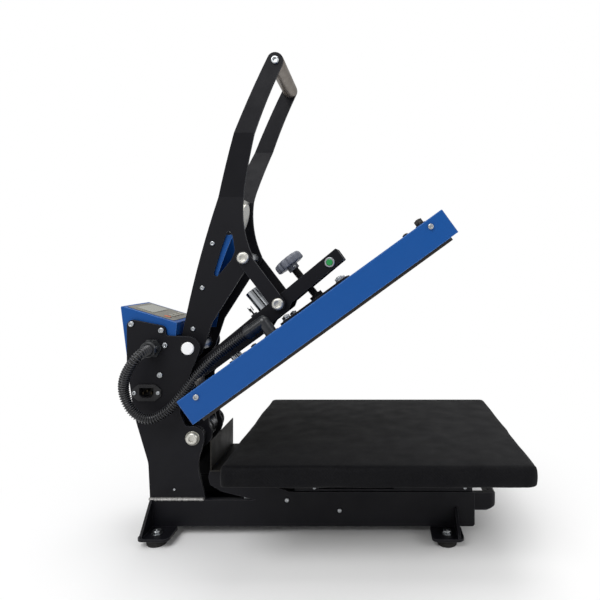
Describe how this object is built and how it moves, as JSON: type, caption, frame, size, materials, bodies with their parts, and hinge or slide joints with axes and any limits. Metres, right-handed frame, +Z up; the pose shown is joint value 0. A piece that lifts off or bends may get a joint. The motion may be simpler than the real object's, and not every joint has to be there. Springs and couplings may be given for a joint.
{
  "type": "heat press",
  "caption": "Slide-out clamshell heat press: a hinged heater platen on a toggle lever above a padded drawer platen, with a hose, control box and pressure knob.",
  "frame": {"origin": "on the table under the middle of the press's outline", "axes": "+X towards the operator, -Y to the operator's left, +Z up"},
  "size_m": [0.6696, 0.406, 0.8114],
  "materials": {
    "frame_black": "fine-textured black powder coat",
    "cover_blue": "smooth blue paint",
    "zinc": "bright zinc plate",
    "bright_steel": "ground bright steel",
    "platen_aluminium": "ground aluminium",
    "black_oxide": "black oxide on the steel screw",
    "cast_platen": "dark non-stick coat on the cast aluminium platen",
    "black_plastic": "matt moulded plastic",
    "knob_grey": "dark grey moulded plastic",
    "white_plastic": "white plastic cap",
    "green_plastic": "glossy green cap",
    "panel_grey": "light grey overlay",
    "display_glass": "clear window",
    "grip_rubber": "satin warm grey sleeve",
    "foot_rubber": "black rubber",
    "hose_black": "ribbed black conduit",
    "pad_fabric": "black woven cloth",
    "pad_foam": "silicone foam",
    "mat_fibre": "pale mineral mat",
    "guard_grey": "warm grey paint",
    "brass": "plain brass"
  },
  "bodies": {
    "base": {"base_rail_left": "frame_black", "base_rail_right": "frame_black", "base_pan": "frame_black", "foot_brackets": "frame_black", "rubber_feet": "foot_rubber", "foot_bolts": "zinc", "tower_plate_left": "frame_black", "tower_plate_right": "frame_black", "tower_back": "frame_black", "tower_bar": "frame_black", "pivot_shafts": "bright_steel", "pivot_bolts": "zinc", "shaft_caps": "white_plastic", "control_box": "cover_blue", "control_panel": "panel_grey", "display_window": "display_glass", "body_screws": "zinc", "power_inlet": "black_plastic", "inlet_pins": "brass", "hose_gland": "black_plastic", "heater_hose": "hose_black", "rear_guard": "guard_grey", "slide_rails": "zinc", "return_spring": "bright_steel"},
    "drawer": {"slide_runners": "zinc", "drawer_frame": "frame_black", "drawer_handle": "frame_black", "drawer_screws": "zinc", "platen_bearers": "frame_black", "lower_platen": "platen_aluminium", "platen_pad": "pad_foam", "pad_cover": "pad_fabric"},
    "press_arm": {"arm_plate_left": "frame_black", "arm_plate_right": "frame_black", "beam_web": "frame_black", "stud_bush": "brass", "pivot_sleeve": "zinc", "holding_magnet": "bright_steel", "magnet_terminal": "black_plastic", "button_housing": "zinc"},
    "button": {"button_cap": "green_plastic"},
    "platen": {"heater_plate": "cast_platen", "insulation_mat": "mat_fibre", "heater_cover": "cover_blue", "cover_screws": "zinc", "cover_studs": "zinc", "bridge_plate": "frame_black", "bridge_bolts": "zinc", "guide_pins": "bright_steel", "hose_elbow": "black_plastic"},
    "knob": {"pressure_stud": "black_oxide", "pressure_knob": "knob_grey"},
    "lever": {"lever_plates": "frame_black", "lever_spine": "cover_blue", "lever_sleeve": "zinc", "lever_grip": "grip_rubber", "lever_screws": "zinc", "armature": "zinc"},
    "link": {"links": "frame_black", "link_bolts": "zinc"}
  },
  "joints": [
    {"name": "drawer_slide", "type": "slide", "parent": "base", "child": "drawer", "axis": [1, 0, 0], "range_m": [0, 0.3]},
    {"name": "press_arm_hinge", "type": "hinge", "parent": "base", "child": "press_arm", "pos_m": [-0.21018, 0, 0.164], "axis": [0, 1, 0], "range_deg": [0, 36], "stiffness_Nm_per_rad": 35, "springref_deg": -64.17, "deforming": ["heater_hose", "return_spring"]},
    {"name": "lever_hinge", "type": "hinge", "parent": "base", "child": "lever", "pos_m": [-0.21818, 0, 0.316], "axis": [0, 1, 0], "range_deg": [0, 56.8]},
    {"name": "link_hinge", "type": "hinge", "parent": "lever", "child": "link", "pos_m": [-0.12788, 0, 0.4696], "axis": [0, 1, 0], "range_deg": [-71.6, 0]},
    {"name": "platen_press", "type": "slide", "parent": "press_arm", "child": "platen", "axis": [0.6361, 0, -0.7716], "range_m": [0, 0.008]},
    {"name": "knob_turn", "type": "hinge", "parent": "platen", "child": "knob", "pos_m": [-0.03329, 0, 0.43432], "axis": [0.6361, 0, -0.7716], "range_deg": [0, 1440]},
    {"name": "button_press", "type": "slide", "parent": "press_arm", "child": "button", "axis": [0, 1, 0], "range_m": [0, 0.0015], "stiffness_N_per_m": 600, "springref_m": -0.002}
  ],
  "couplings": [
    {"joint": "lever_hinge", "follows": "press_arm_hinge", "ratio": 1.5758},
    {"joint": "link_hinge", "follows": "press_arm_hinge", "ratio": -1.9868},
    {"joint": "knob_turn", "follows": "platen_press", "rad_per_m": 3141.6}
  ]
}
